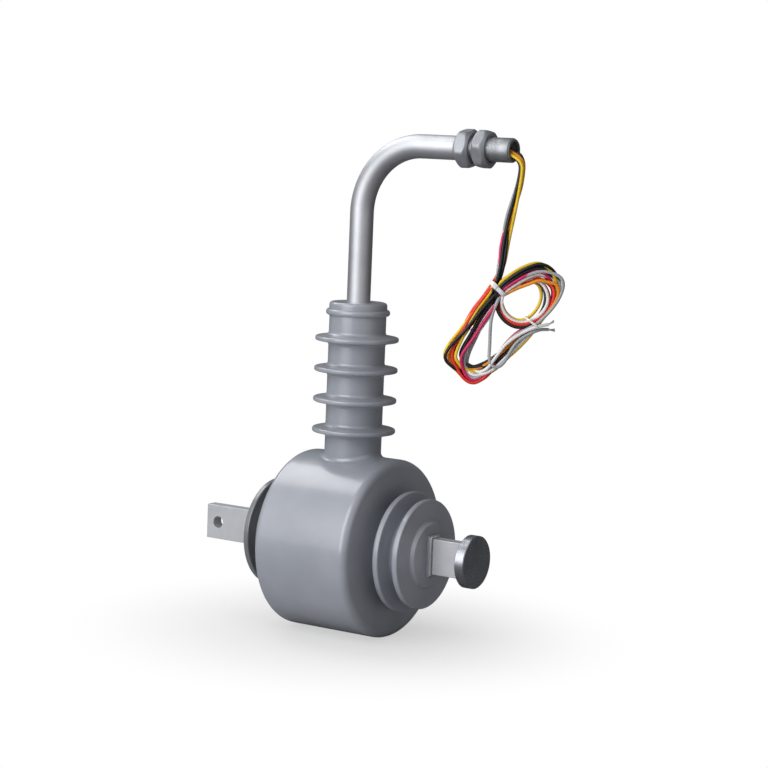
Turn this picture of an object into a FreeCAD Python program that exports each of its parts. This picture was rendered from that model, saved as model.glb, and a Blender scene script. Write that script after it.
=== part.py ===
import FreeCAD, Part
import math
import os
from types import SimpleNamespace

import Sketcher

# Outdoor instrument transformer cast in resin: a flat bar runs through two wound ring cores, and the
# secondary leads leave through a bent conduit above the neck. Millimetres. The origin is the centre of
# the terminal hole in the bar's rear end, +X runs along the bar to the round pad, +Z up the neck.
doc = FreeCAD.newDocument("outdoor_instrument_transformer")

SIZES = {
    # primary bar and round pad, places along the bar counted from the neck axis
    "hole_to_neck": 182.5,
    "bar_height": 40.0,
    "bar_thickness": 15.0,
    "bar_edge": 0.8,
    "hole_dia": 14.0,
    "hole_to_bar_end": 16.0,
    "pad_offset": 158.5,
    "pad_dia": 59.0,
    "pad_thickness": 11.5,
    "pad_edge": 0.8,
    "sleeve_wall": 2.0,
    "sleeve_length": 200.0,
    # cast body and its end sheds, each place counted from the one before it, outwards
    "body_dia": 202.0,
    "body_width": 125.0,
    "body_edge": 8.5,
    "trunk_dia": 88.0,
    "inner_shed_dia": 136.0,
    "inner_shed_gap": 17.5,
    "outer_shed_dia": 123.4,
    "outer_shed_gap": 21.3,
    "end_shed_rim": 6.6,
    "end_shed_root": 10.0,
    "end_shed_edge": 1.5,
    "boss_dia": 74.0,
    "boss_gap": 10.0,
    "boss_edge": 2.0,
    "lip_length": 3.0,
    "lip_wall": 2.6,
    "trunk_fillet": 3.5,
    # cast neck with its rain sheds, from the body's crown up to the cap
    "neck_dia": 64.4,
    "neck_fillet": 5.5,
    "neck_shed_dia": 94.4,
    "neck_shed_rim": 4.6,
    "neck_shed_root": 10.0,
    "neck_shed_edge": 2.0,
    "root_fillet": 3.5,
    "first_shed_gap": 28.3,
    "shed_pitch": 34.6,
    "bead_gap": 29.9,
    "bead_dia": 72.4,
    "bead_width": 7.0,
    "bead_edge": 3.2,
    "cap_dia": 65.6,
    "cap_height": 11.5,
    "cap_edge": 3.5,
    # ring cores, their wraps and windings, all inside the cast body
    "core_inner_dia": 88.0,
    "core_outer_dia": 148.0,
    "protection_core_width": 36.0,
    "measuring_core_width": 26.0,
    "wrap_wall": 1.5,
    "winding_wall": 4.0,
    "spacer_width": 4.0,
    "cushion_wall": 3.0,
    "outlet_dia": 28.0,
    "outlet_rise": 5.5,
    # conduit, its foot, lock nuts and end bush, the nuts counted back from the conduit's end
    "conduit_dia": 26.7,
    "conduit_wall": 2.9,
    "conduit_rise": 177.5,
    "conduit_bend": 77.0,
    "conduit_end": 192.0,
    "foot_dia": 48.0,
    "foot_thickness": 6.0,
    "foot_gap": 6.0,
    "nut_flats": 38.0,
    "nut_thickness": 12.5,
    "nut_clearance": 0.1,
    "inner_nut_back": 64.5,
    "outer_nut_back": 41.0,
    "inner_nut_turn": 14.0,
    "outer_nut_turn": -8.5,
    "bush_bore": 19.0,
    "bush_length": 12.0,
    "bush_flange_dia": 24.4,
    "bush_flange": 1.5,
    # secondary leads, their hank and the two ties
    "lead_dia": 3.6,
    "lead_axis_drop": 1.3,
    "lead_pitch": 4.0,
    "strand_dia": 1.9,
    "strand_length": 6.5,
    "hank_depth": 22.0,
    "hank_corner": 15.0,
    "hank_swing": 33.0,
    "tie_width": 3.6,
    "thin_tie_width": 2.4,
    "tie_wall": 1.2,
}
NECK_SHEDS = 4


class Size:
    """A size of the part: its value in millimetres and the sheet expression that drives it."""

    def __init__(self, value, text):
        self.value = value
        self.text = text

    def __add__(self, other):
        other = as_size(other)
        return Size(self.value + other.value, "(%s + %s)" % (self.text, other.text))

    def __sub__(self, other):
        other = as_size(other)
        return Size(self.value - other.value, "(%s - %s)" % (self.text, other.text))

    def __mul__(self, number):
        return Size(self.value * number, "(%s * %r)" % (self.text, number))

    def __truediv__(self, number):
        return Size(self.value / number, "(%s / %r)" % (self.text, number))

    def __neg__(self):
        return self * -1.0


def as_size(number):
    """A plain number as a size, so that the two can be added."""
    if isinstance(number, Size):
        return number
    return Size(float(number), repr(float(number)))


sheet = doc.addObject("Spreadsheet::Sheet", "Sizes")
for row, (alias, number) in enumerate(SIZES.items(), start=1):
    sheet.set("A%d" % row, alias)
    sheet.set("B%d" % row, str(number))
    sheet.setAlias("B%d" % row, alias)
doc.recompute()
s = SimpleNamespace(**{alias: Size(float(sheet.get(alias)), "Sizes." + alias) for alias in SIZES})

parts = {}


def new_body(label, along=None):
    """A body whose own origin is where the neck axis crosses the bar's axis, moved along the bar if asked."""
    body = doc.addObject("PartDesign::Body", label)
    body.Label = label
    place = s.hole_to_neck if along is None else s.hole_to_neck + along
    body.setExpression("Placement.Base.x", place.text)
    parts[label] = body
    return body


def origin_plane(body, role):
    for feature in body.Origin.OriginFeatures:
        if feature.Role == role:
            return feature


def hold(sketch, direction, edge, end, place):
    """Ties one end of an edge to the sketch's origin, in one direction."""
    place = as_size(place)
    if place.value == 0.0:
        axis = -2 if direction == "DistanceX" else -1
        sketch.addConstraint(Sketcher.Constraint("PointOnObject", edge, end, axis))
        return
    constraint = sketch.addConstraint(Sketcher.Constraint(direction, -1, 1, edge, end, place.value))
    sketch.setExpression("Constraints[%d]" % constraint, place.text)


def new_sketch(body, name, role):
    sketch = body.newObject("Sketcher::SketchObject", name)
    sketch.AttachmentSupport = (origin_plane(body, role), [""])
    sketch.MapMode = "FlatFace"
    return sketch


def outline(body, name, role, *loops):
    """Closed outlines of straight edges, each corner held by the sheet's sizes."""
    sketch = new_sketch(body, name, role)
    for corners in loops:
        first = sketch.GeometryCount
        spots = [FreeCAD.Vector(as_size(x).value, as_size(y).value, 0) for x, y in corners]
        for index, spot in enumerate(spots):
            sketch.addGeometry(Part.LineSegment(spot, spots[(index + 1) % len(spots)]))
        for index, (x, y) in enumerate(corners):
            edge = first + index
            following = first + (index + 1) % len(corners)
            sketch.addConstraint(Sketcher.Constraint("Coincident", edge, 2, following, 1))
            hold(sketch, "DistanceX", edge, 1, x)
            hold(sketch, "DistanceY", edge, 1, y)
    return sketch


def circle(body, name, role, x, radius):
    """A round outline centred on the sketch's first axis."""
    sketch = new_sketch(body, name, role)
    centre = FreeCAD.Vector(as_size(x).value, 0, 0)
    sketch.addGeometry(Part.Circle(centre, FreeCAD.Vector(0, 0, 1), radius.value))
    hold(sketch, "DistanceX", 0, 3, x)
    hold(sketch, "DistanceY", 0, 3, 0)
    size = sketch.addConstraint(Sketcher.Constraint("Radius", 0, radius.value))
    sketch.setExpression("Constraints[%d]" % size, radius.text)
    return sketch


def turned(body, kind, sketch, axis):
    """Turns a sketch about one of its axes: kind is Revolution to add material, Groove to cut it."""
    feature = body.newObject("PartDesign::" + kind, kind + "_" + sketch.Name)
    feature.Profile = sketch
    feature.ReferenceAxis = (sketch, [axis])
    feature.Angle = 360.0
    doc.recompute()
    return feature


def extruded(body, kind, sketch, length, symmetric=True):
    """Pads or pockets a sketch by a length, to both sides of its plane or to one."""
    feature = body.newObject("PartDesign::" + kind, kind + "_" + sketch.Name)
    feature.Profile = sketch
    feature.SideType = "Symmetric" if symmetric else "One side"
    feature.setExpression("Length", length.text)
    doc.recompute()
    return feature


def rounded(body, name, radius, wanted, kind="Fillet"):
    """Rounds, or bevels, every edge of the body that the test picks."""
    base = body.Tip
    edges = enumerate(base.Shape.Edges, start=1)
    names = ["Edge%d" % number for number, edge in edges if wanted(edge)]
    feature = body.newObject("PartDesign::" + kind, name)
    feature.Base = (base, names)
    feature.setExpression("Radius" if kind == "Fillet" else "Size", radius.text)
    doc.recompute()
    return feature


def circle_of(edge, axis, radius):
    """Whether an edge is a circle about an axis parallel to the given one, of the given radius."""
    if not isinstance(edge.Curve, Part.Circle):
        return False
    square = abs(abs(edge.Curve.Axis.dot(axis)) - 1.0) < 1e-6
    return square and abs(edge.Curve.Radius - radius.value) < 1e-4


def box_corners(x_low, x_high, y_low, y_high):
    return [(x_low, y_low), (x_high, y_low), (x_high, y_high), (x_low, y_high)]


ALONG = FreeCAD.Vector(1, 0, 0)
UP = FreeCAD.Vector(0, 0, 1)
RADIAL_SPARE = 2.0

# The space that the windings take up in the cast body
core_inner = s.core_inner_dia / 2
core_outer = s.core_outer_dia / 2
winding_inner = core_inner - s.wrap_wall - s.winding_wall
winding_outer = core_outer + s.wrap_wall + s.winding_wall
cushion_inner = winding_inner - s.cushion_wall
cushion_outer = winding_outer + s.cushion_wall
protection_width = s.protection_core_width + s.wrap_wall * 2 + s.winding_wall * 2
measuring_width = s.measuring_core_width + s.wrap_wall * 2 + s.winding_wall * 2
windings_half = (protection_width + measuring_width + s.spacer_width) / 2
cushion_half = windings_half + s.cushion_wall
protection_end = protection_width - windings_half
measuring_start = protection_end + s.spacer_width

conduit_radius = s.conduit_dia / 2
conduit_bore = conduit_radius - s.conduit_wall
outlet_height = cushion_outer + s.outlet_rise
foot_low = outlet_height + s.foot_gap
foot_high = foot_low + s.foot_thickness
outlet_low = cushion_outer - s.outlet_dia / 2

# Places on the end sheds, from the neck axis out
inner_shed = s.body_width / 2 + s.inner_shed_gap
outer_shed = inner_shed + s.outer_shed_gap
boss_face = outer_shed + s.boss_gap

# Heights on the neck, from the bar's axis up
first_shed = s.body_dia / 2 + s.first_shed_gap
top_shed = first_shed + s.shed_pitch * (NECK_SHEDS - 1)
bead_height = top_shed + s.bead_gap
neck_top = bead_height + s.cap_height
conduit_height = neck_top + s.conduit_rise


def end_sheds():
    """The profile of one end of the cast body, from its flat face out to the middle of the boss."""
    trunk = s.trunk_dia / 2
    corners = [(s.body_width / 2, s.body_dia / 2), (s.body_width / 2, trunk)]
    for middle, rim, after in (
        (inner_shed, s.inner_shed_dia / 2, trunk),
        (outer_shed, s.outer_shed_dia / 2, s.boss_dia / 2),
    ):
        corners.append((middle - s.end_shed_root / 2, trunk))
        corners.append((middle - s.end_shed_rim / 2, rim))
        corners.append((middle + s.end_shed_rim / 2, rim))
        corners.append((middle + s.end_shed_root / 2, after))
    corners.append((boss_face, s.boss_dia / 2))
    corners.append((boss_face, 0))
    return corners


def neck_profile():
    """Half the section of the neck, from inside the body up to its capped top."""
    neck = s.neck_dia / 2
    corners = [(0, s.body_dia / 4), (neck, s.body_dia / 4)]
    for shed in range(NECK_SHEDS):
        middle = first_shed + s.shed_pitch * shed
        corners.append((neck, middle - s.neck_shed_root / 2))
        corners.append((s.neck_shed_dia / 2, middle - s.neck_shed_rim / 2))
        corners.append((s.neck_shed_dia / 2, middle + s.neck_shed_rim / 2))
        corners.append((neck, middle + s.neck_shed_root / 2))
    corners.append((neck, bead_height - s.bead_width / 2))
    corners.append((s.bead_dia / 2, bead_height - s.bead_width / 2))
    corners.append((s.bead_dia / 2, bead_height + s.bead_width / 2))
    corners.append((s.cap_dia / 2, bead_height + s.bead_width / 2))
    corners.append((s.cap_dia / 2, neck_top))
    corners.append((0, neck_top))
    return corners


def make_casting():
    """The grey resin casting: round body, end sheds and bosses, neck, rain sheds, bead and cap."""
    body = new_body("resin_casting")
    front = end_sheds()
    rear = [(-as_size(x), r) for x, r in reversed(front)]
    turned(body, "Revolution", outline(body, "body_profile", "XZ_Plane", front + rear), "H_Axis")
    turned(body, "Revolution", outline(body, "neck_profile", "XZ_Plane", neck_profile()), "V_Axis")
    rounded(body, "body_edges", s.body_edge, lambda e: circle_of(e, ALONG, s.body_dia / 2))
    rounded(body, "neck_root", s.neck_fillet, meets_body)
    for rim in (s.inner_shed_dia, s.outer_shed_dia):
        rounded(body, "end_rims", s.end_shed_edge, lambda e: circle_of(e, ALONG, rim / 2))
    rounded(body, "trunk_roots", s.trunk_fillet, lambda e: circle_of(e, ALONG, s.trunk_dia / 2))
    rounded(body, "boss_edges", s.boss_edge, lambda e: circle_of(e, ALONG, s.boss_dia / 2))
    rounded(body, "neck_rims", s.neck_shed_edge, lambda e: circle_of(e, UP, s.neck_shed_dia / 2))
    rounded(body, "neck_roots", s.root_fillet, shed_root)
    rounded(body, "bead_round", s.bead_edge, lambda e: circle_of(e, UP, s.bead_dia / 2))
    rounded(body, "cap_round", s.cap_edge, cap_rim)
    height, thickness = s.bar_height / 2 + s.lip_wall, s.bar_thickness / 2 + s.lip_wall
    lip = box_corners(-thickness, thickness, -height, height)
    extruded(body, "Pad", outline(body, "bar_lip", "YZ_Plane", lip), (boss_face + s.lip_length) * 2)
    cast_round_inserts(body)
    return body


def meets_body(edge):
    """The curve along which the neck runs into the round body."""
    low, high = edge.BoundBox.ZMin, edge.BoundBox.ZMax
    on_neck = abs(edge.BoundBox.XLength - s.neck_dia.value) < 0.5
    return on_neck and low > s.body_dia.value / 3 and high < s.body_dia.value / 2 + 0.5


def shed_root(edge):
    """Where a rain shed springs from the neck."""
    if not circle_of(edge, UP, s.neck_dia / 2):
        return False
    return edge.Curve.Center.z < top_shed.value + s.neck_shed_root.value


def cap_rim(edge):
    top = abs(edge.Curve.Center.z - neck_top.value) < 1e-4 if hasattr(edge.Curve, "Center") else False
    return top and circle_of(edge, UP, s.cap_dia / 2)


def cast_round_inserts(body):
    """The hollows that the resin leaves round the bar, the windings, the outlet block and the conduit."""
    ring = box_corners(-cushion_half, cushion_half, cushion_inner, cushion_outer)
    turned(body, "Groove", outline(body, "winding_space", "XZ_Plane", ring), "H_Axis")
    height, thickness = s.bar_height / 2, s.bar_thickness / 2
    slot = box_corners(-thickness, thickness, -height, height)
    through = (boss_face + s.lip_length) * 2 + RADIAL_SPARE
    extruded(body, "Pocket", outline(body, "bar_space", "YZ_Plane", slot), through)
    wall = s.sleeve_wall
    slot = box_corners(-thickness - wall, thickness + wall, -height - wall, height + wall)
    extruded(body, "Pocket", outline(body, "sleeve_space", "YZ_Plane", slot), s.sleeve_length)
    riser = [
        (0, outlet_low), (s.outlet_dia / 2, outlet_low), (s.outlet_dia / 2, outlet_height),
        (conduit_radius, outlet_height), (conduit_radius, foot_low), (s.foot_dia / 2, foot_low),
        (s.foot_dia / 2, foot_high), (conduit_radius, foot_high),
        (conduit_radius, neck_top + RADIAL_SPARE), (0, neck_top + RADIAL_SPARE),
    ]
    turned(body, "Groove", outline(body, "conduit_space", "XZ_Plane", riser), "V_Axis")


def make_primary():
    """The flat bar with its bolt hole, its sleeve in the casting, and the round pad on its front end."""
    bar = new_body("primary_bar")
    rear = -s.hole_to_neck - s.hole_to_bar_end
    height = s.bar_height / 2
    flat = outline(bar, "bar_side", "XZ_Plane", box_corners(rear, s.pad_offset, -height, height))
    extruded(bar, "Pad", flat, s.bar_thickness)
    rounded(bar, "bar_edges", s.bar_edge, lambda e: e.BoundBox.XLength > s.hole_to_neck.value)
    hole = circle(bar, "terminal_hole", "XZ_Plane", -s.hole_to_neck, s.hole_dia / 2)
    extruded(bar, "Pocket", hole, s.bar_thickness * 2)

    pad = new_body("terminal_pad", s.pad_offset)
    disc = outline(pad, "pad_profile", "XZ_Plane", box_corners(0, s.pad_thickness, 0, s.pad_dia / 2))
    turned(pad, "Revolution", disc, "H_Axis")
    rounded(pad, "pad_edges", s.pad_edge, lambda e: circle_of(e, ALONG, s.pad_dia / 2), "Chamfer")

    sleeve = new_body("primary_sleeve")
    thickness, wall = s.bar_thickness / 2, s.sleeve_wall
    inner = box_corners(-thickness, thickness, -height, height)
    outer = box_corners(-thickness - wall, thickness + wall, -height - wall, height + wall)
    extruded(sleeve, "Pad", outline(sleeve, "sleeve_section", "YZ_Plane", outer, inner), s.sleeve_length)


def make_ring(label, start, end, inner, outer, wall=None):
    """A ring about the bar's axis, with a hollow of the same shape inside its walls if a wall is given."""
    body = new_body(label)
    loops = [box_corners(start, end, inner, outer)]
    if wall is not None:
        loops.append(box_corners(start + wall, end - wall, inner + wall, outer - wall))
    turned(body, "Revolution", outline(body, label + "_section", "XZ_Plane", *loops), "H_Axis")
    return body


def make_windings():
    """Two ring cores, each in its wrap and its winding, with a spacer between and one cushion round both."""
    for name, start, width in (
        ("protection", -windings_half, protection_width),
        ("measuring", measuring_start, measuring_width),
    ):
        end = start + width
        make_ring(name + "_winding", start, end, winding_inner, winding_outer, s.winding_wall)
        start, end = start + s.winding_wall, end - s.winding_wall
        wrap_inner, wrap_outer = core_inner - s.wrap_wall, core_outer + s.wrap_wall
        make_ring(name + "_core_wrap", start, end, wrap_inner, wrap_outer, s.wrap_wall)
        make_ring(name + "_core", start + s.wrap_wall, end - s.wrap_wall, core_inner, core_outer)
    make_ring("winding_spacer", protection_end, measuring_start, winding_inner, winding_outer)
    make_ring("winding_cushion", -cushion_half, cushion_half, cushion_inner, cushion_outer, s.cushion_wall)

    block = new_body("lead_outlet_block")
    post = box_corners(0, s.outlet_dia / 2, outlet_low, outlet_height)
    turned(block, "Revolution", outline(block, "block_profile", "XZ_Plane", post), "V_Axis")
    seat = box_corners(-s.outlet_dia, s.outlet_dia, 0, cushion_outer)
    turned(block, "Groove", outline(block, "block_seat", "XZ_Plane", seat), "H_Axis")


def make_conduit():
    """The bent conduit with its threaded end, and the ring welded round its foot inside the neck."""
    body = new_body("conduit_tube")
    bend_low = conduit_height - s.conduit_bend
    path = new_sketch(body, "conduit_path", "XZ_Plane")
    foot = FreeCAD.Vector(0, outlet_height.value, 0)
    start = FreeCAD.Vector(0, bend_low.value, 0)
    centre = FreeCAD.Vector(s.conduit_bend.value, bend_low.value, 0)
    finish = FreeCAD.Vector(s.conduit_bend.value, conduit_height.value, 0)
    tip = FreeCAD.Vector(s.conduit_end.value, conduit_height.value, 0)
    path.addGeometry(Part.LineSegment(foot, start))
    round_bend = Part.Circle(centre, UP, s.conduit_bend.value)
    path.addGeometry(Part.ArcOfCircle(round_bend, math.pi / 2, math.pi))
    path.addGeometry(Part.LineSegment(finish, tip))
    path.addConstraint(Sketcher.Constraint("Coincident", 0, 2, 1, 2))
    path.addConstraint(Sketcher.Constraint("Coincident", 1, 1, 2, 1))
    for edge, end, x, y in (
        (0, 1, 0, outlet_height), (0, 2, 0, bend_low),
        (2, 1, s.conduit_bend, conduit_height), (2, 2, s.conduit_end, conduit_height),
    ):
        hold(path, "DistanceX", edge, end, x)
        hold(path, "DistanceY", edge, end, y)
    hold(path, "DistanceX", 1, 3, s.conduit_bend)
    for kind, radius in (("AdditivePipe", conduit_radius), ("SubtractivePipe", conduit_bore)):
        section = circle(body, kind + "_section", "XY_Plane", 0, radius)
        section.setExpression("AttachmentOffset.Base.z", outlet_height.text)
        doc.recompute()
        pipe = body.newObject("PartDesign::" + kind, kind)
        pipe.Profile = section
        pipe.Spine = (path, ["Edge1", "Edge2", "Edge3"])
        doc.recompute()

    foot_ring = new_body("conduit_foot_ring")
    section = box_corners(conduit_radius, s.foot_dia / 2, foot_low, foot_high)
    turned(foot_ring, "Revolution", outline(foot_ring, "foot_profile", "XZ_Plane", section), "V_Axis")

    bush = new_body("conduit_end_bush", s.conduit_end)
    section = [
        (-s.bush_length, s.bush_bore / 2), (s.bush_flange, s.bush_bore / 2),
        (s.bush_flange, s.bush_flange_dia / 2), (0, s.bush_flange_dia / 2),
        (0, conduit_bore), (-s.bush_length, conduit_bore),
    ]
    turned(bush, "Revolution", outline(bush, "bush_profile", "XZ_Plane", section), "H_Axis")
    bush.setExpression("Placement.Base.z", conduit_height.text)


def make_nut(label, offset, turn):
    """A hexagon lock nut on the conduit's thread, bevelled at both faces."""
    body = new_body(label, offset)
    flat = s.nut_flats / 2
    corner = s.nut_flats / math.sqrt(3)
    hexagon = [
        (corner, 0), (corner / 2, flat), (-corner / 2, flat),
        (-corner, 0), (-corner / 2, -flat), (corner / 2, -flat),
    ]
    extruded(body, "Pad", outline(body, "hexagon", "YZ_Plane", hexagon), s.nut_thickness, symmetric=False)
    face_radius = flat * 0.97
    reach = corner + RADIAL_SPARE
    slope = (reach - face_radius) * math.tan(math.radians(30))
    bore = conduit_radius + s.nut_clearance
    cuts = [
        box_corners(-s.nut_thickness, s.nut_thickness * 2, 0, bore),
        [(0, face_radius), (0, reach), (slope, reach)],
        [(s.nut_thickness, face_radius), (s.nut_thickness - slope, reach), (s.nut_thickness, reach)],
    ]
    for number, corners in enumerate(cuts):
        turned(body, "Groove", outline(body, "nut_cut_%d" % number, "XZ_Plane", corners), "H_Axis")
    body.setExpression("Placement.Base.z", conduit_height.text)
    body.setExpression("Placement.Rotation.Angle", turn.text)
    body.Placement.Rotation.Axis = ALONG


def make_nuts():
    make_nut("inner_lock_nut", s.conduit_end - s.inner_nut_back, s.inner_nut_turn)
    make_nut("outer_lock_nut", s.conduit_end - s.outer_nut_back, s.outer_nut_turn)


def tube(label, edges, diameter):
    """A round tube along a path of straight runs and arcs, with its volume against section times length."""
    path = Part.Wire(edges)
    start = edges[0]
    direction = start.tangentAt(start.FirstParameter)
    rim = Part.Circle(start.valueAt(start.FirstParameter), direction, diameter / 2)
    solid = path.makePipeShell([Part.Wire([rim.toShape()])], True, False)
    feature = doc.addObject("Part::Feature", label)
    feature.Shape = solid
    feature.Label = label
    parts[label] = feature
    ratio = solid.Volume / (math.pi * diameter ** 2 / 4 * path.Length)
    print("%s: length %.1f, volume ratio %.4f" % (label, path.Length, ratio))
    return feature


def rounded_path(label, points):
    """Straight runs between the points, joined by arcs as large as the shorter run allows."""
    points = [mouth + FreeCAD.Vector(*point) for point in points]
    edges = []
    last = points[0]
    radii = []
    for before, corner, after in zip(points, points[1:], points[2:]):
        inward = (before - corner).normalize()
        outward = (after - corner).normalize()
        turn = math.pi - inward.getAngle(outward)
        shorter = min(before.distanceToPoint(corner), corner.distanceToPoint(after))
        setback = 0.45 * shorter
        radius = setback / math.tan(turn / 2)
        centre = corner + (inward + outward).normalize() * (radius / math.cos(turn / 2))
        middle = centre + (corner - centre).normalize() * radius
        start = corner + inward * setback
        finish = corner + outward * setback
        edges.append(Part.LineSegment(last, start).toShape())
        edges.append(Part.Arc(start, middle, finish).toShape())
        last = finish
        radii.append(round(radius, 1))
    edges.append(Part.LineSegment(last, points[-1]).toShape())
    print("%s: radii %s" % (label, radii))
    return edges


mouth = FreeCAD.Vector((s.hole_to_neck + s.conduit_end).value, 0, conduit_height.value)

# The route of each free lead, counted from the middle of the conduit's mouth: from inside the end bush, out
# over its lip and down to the hank
FREE_LEADS = {
    "yellow": ((-12.0, -6.1, 0.3), (6.2, -6.1, 0.3), (15.1, -6.1, -10.4), (14.9, -6.2, -24.0),
               (10.7, -8.9, -42.0), (7.1, -11.3, -70.0), (3.3, -13.8, -100.0), (-1.8, -17.1, -129.6)),
    "amber": ((-12.0, -3.9, 3.6), (7.8, -3.9, 3.6), (18.4, -3.9, -9.2), (18.3, -4.0, -24.0),
              (14.1, -6.8, -42.0), (10.5, -9.1, -70.0), (6.6, -11.6, -100.0), (1.5, -15.0, -130.4)),
    "black_a": ((-12.0, -2.8, -1.9), (5.2, -2.8, -1.9), (12.9, -2.8, -11.2), (12.8, -2.9, -24.0),
                (8.6, -5.6, -42.0), (5.0, -7.9, -70.0), (1.1, -10.4, -100.0), (-3.9, -13.7, -129.6)),
    "red": ((-12.0, -0.6, 1.5), (6.8, -0.6, 1.5), (16.3, -0.6, -10.0), (16.1, -0.7, -24.0),
            (11.9, -3.4, -42.0), (8.3, -5.7, -70.0), (4.5, -8.3, -100.0), (-0.7, -11.6, -130.4)),
    "grey": ((-12.0, 0.6, -4.1), (4.2, 0.6, -4.1), (10.7, 0.6, -12.0), (10.6, 0.5, -24.0),
             (6.4, -2.2, -42.0), (2.8, -4.6, -70.0), (-1.1, -7.1, -100.0), (-6.1, -10.4, -129.6)),
    "black_b": ((-12.0, 2.8, -0.7), (5.8, 2.8, -0.7), (14.1, 2.8, -10.8), (13.9, 2.7, -24.0),
                (9.7, -0.1, -42.0), (6.1, -2.4, -70.0), (2.3, -4.9, -100.0), (-2.9, -8.3, -130.4)),
    "white": ((-12.0, 3.9, -6.2), (3.2, 3.9, -6.2), (8.6, 3.9, -12.8), (8.4, 3.8, -24.0),
              (4.2, 1.1, -42.0), (0.6, -1.2, -70.0), (-3.3, -3.7, -100.0), (-8.3, -7.0, -129.6)),
    "rose": ((-12.0, 6.1, -2.9), (4.8, 6.1, -2.9), (11.9, 6.1, -11.6), (11.8, 6.0, -24.0),
             (7.6, 3.3, -42.0), (4.0, 1.0, -70.0), (0.1, -1.5, -100.0), (-5.1, -4.9, -130.4)),
}


# Each lead's place in the bundle inside the conduit, in pitches across it, seen square to the hank
BUNDLE = {
    "yellow": (-0.5, -1.5), "amber": (0.5, -1.5), "black_a": (-0.5, -0.5), "red": (0.5, -0.5),
    "grey": (-0.5, 0.5), "black_b": (0.5, 0.5), "white": (-0.5, 1.5), "rose": (0.5, 1.5),
}


def make_leads():
    """Each lead in two stretches: from the outlet block up through the conduit, then free to the hank."""
    bend = s.conduit_bend.value
    neck = s.hole_to_neck.value
    bend_low = conduit_height.value - bend
    swing = math.radians(s.hank_swing.value)
    pitch = s.lead_pitch.value
    for colour, (across, along) in BUNDLE.items():
        side = pitch * (across * math.sin(swing) + along * math.cos(swing))
        lift = pitch * (across * math.cos(swing) - along * math.sin(swing)) - s.lead_axis_drop.value
        foot = FreeCAD.Vector(neck - lift, side, outlet_height.value)
        start = FreeCAD.Vector(neck - lift, side, bend_low)
        centre = FreeCAD.Vector(neck + bend, side, bend_low)
        radius = bend + lift
        middle = centre + FreeCAD.Vector(-radius, 0, radius) / math.sqrt(2)
        finish = centre + FreeCAD.Vector(0, 0, radius)
        tip = FreeCAD.Vector(mouth.x - s.bush_length.value, side, conduit_height.value + lift)
        edges = [
            Part.LineSegment(foot, start).toShape(),
            Part.Arc(start, middle, finish).toShape(),
            Part.LineSegment(finish, tip).toShape(),
        ]
        tube("inner_lead_" + colour, edges, s.lead_dia.value)
    for colour, points in FREE_LEADS.items():
        label = "lead_" + colour
        tube(label, rounded_path(label, points), s.lead_dia.value)


# The hank hangs in an upright plane, counted from the conduit's mouth: its outline and its two open loops
HANK_ORIGIN = (1.2, -8.0)
HANK_OUTLINE = [
    (-0.61, -131.05), (-1.3, -134.2), (31.0, -111.0), (62.0, -115.0), (69.0, -134.0), (53.5, -166.0),
    (-10.0, -253.2), (-34.0, -258.5), (-68.0, -226.5), (-14.4, -143.5), (-10.41, -129.05),
]
UPPER_LOOP = ((17.0, -161.0), 19.0)
LOWER_LOOP = [(-11.0, -183.0), (9.0, -194.0), (-12.0, -223.0), (-27.0, -226.0)]


def place_in_hank(feature):
    feature.Placement.Base = mouth + FreeCAD.Vector(*HANK_ORIGIN, 0)
    feature.Placement.Rotation = FreeCAD.Rotation(UP, s.hank_swing.value)


def make_hank():
    """The tied hank of leads as one solid, with the ties round it where they are drawn tight."""
    body = doc.addObject("PartDesign::Body", "lead_hank")
    parts["lead_hank"] = body
    place_in_hank(body)
    extruded(body, "Pad", outline(body, "hank_outline", "XZ_Plane", HANK_OUTLINE), s.hank_depth)

    def outer_corner(edge):
        upright = abs(edge.BoundBox.YLength - s.hank_depth.value) < 1e-3
        return upright and not (-17.0 < edge.BoundBox.XMin < 0.0 and edge.BoundBox.ZMin > -150.0)

    rounded(body, "hank_corners", s.hank_corner, outer_corner)
    upper = new_sketch(body, "upper_loop", "XZ_Plane")
    centre, radius = UPPER_LOOP
    upper.addGeometry(Part.Circle(FreeCAD.Vector(*centre, 0), UP, radius))
    extruded(body, "Pocket", upper, s.hank_depth * 2)
    extruded(body, "Pocket", outline(body, "lower_loop", "XZ_Plane", LOWER_LOOP), s.hank_depth * 2)
    return body


def make_tie(label, hank, middle, slope, reach, width):
    """A tie drawn round one limb of the hank: a flat strap, cut to the hank's own outline inside."""
    strap = doc.addObject("Part::Box", label + "_strap")
    strap.setExpression("Width", (s.hank_depth + s.tie_wall * 2).text)
    strap.setExpression("Height", width.text)
    strap.Length = reach
    strap.Placement = FreeCAD.Placement(
        mouth + FreeCAD.Vector(*HANK_ORIGIN, 0), FreeCAD.Rotation(UP, s.hank_swing.value)
    ).multiply(FreeCAD.Placement(
        FreeCAD.Vector(middle[0], 0, middle[1]), FreeCAD.Rotation(FreeCAD.Vector(0, -1, 0), slope)
    )).multiply(FreeCAD.Placement(
        FreeCAD.Vector(-reach / 2, -(s.hank_depth.value / 2 + s.tie_wall.value), -width.value / 2),
        FreeCAD.Rotation()
    ))
    tie = doc.addObject("Part::Cut", label)
    tie.Base = strap
    tie.Tool = hank
    tie.Label = label
    parts[label] = tie
    doc.recompute()


# The stripped tails of two leads where they leave the hank, in the hank's plane: sideways, forwards, up
TAILS = {
    "white": ((40.33, 4.0, -184.1), (44.78, 4.0, -187.34), (49.8, 4.0, -184.05)),
    "grey": ((35.81, -1.5, -190.3), (40.26, -1.5, -193.54), (50.2, -1.5, -192.4)),
}


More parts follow.
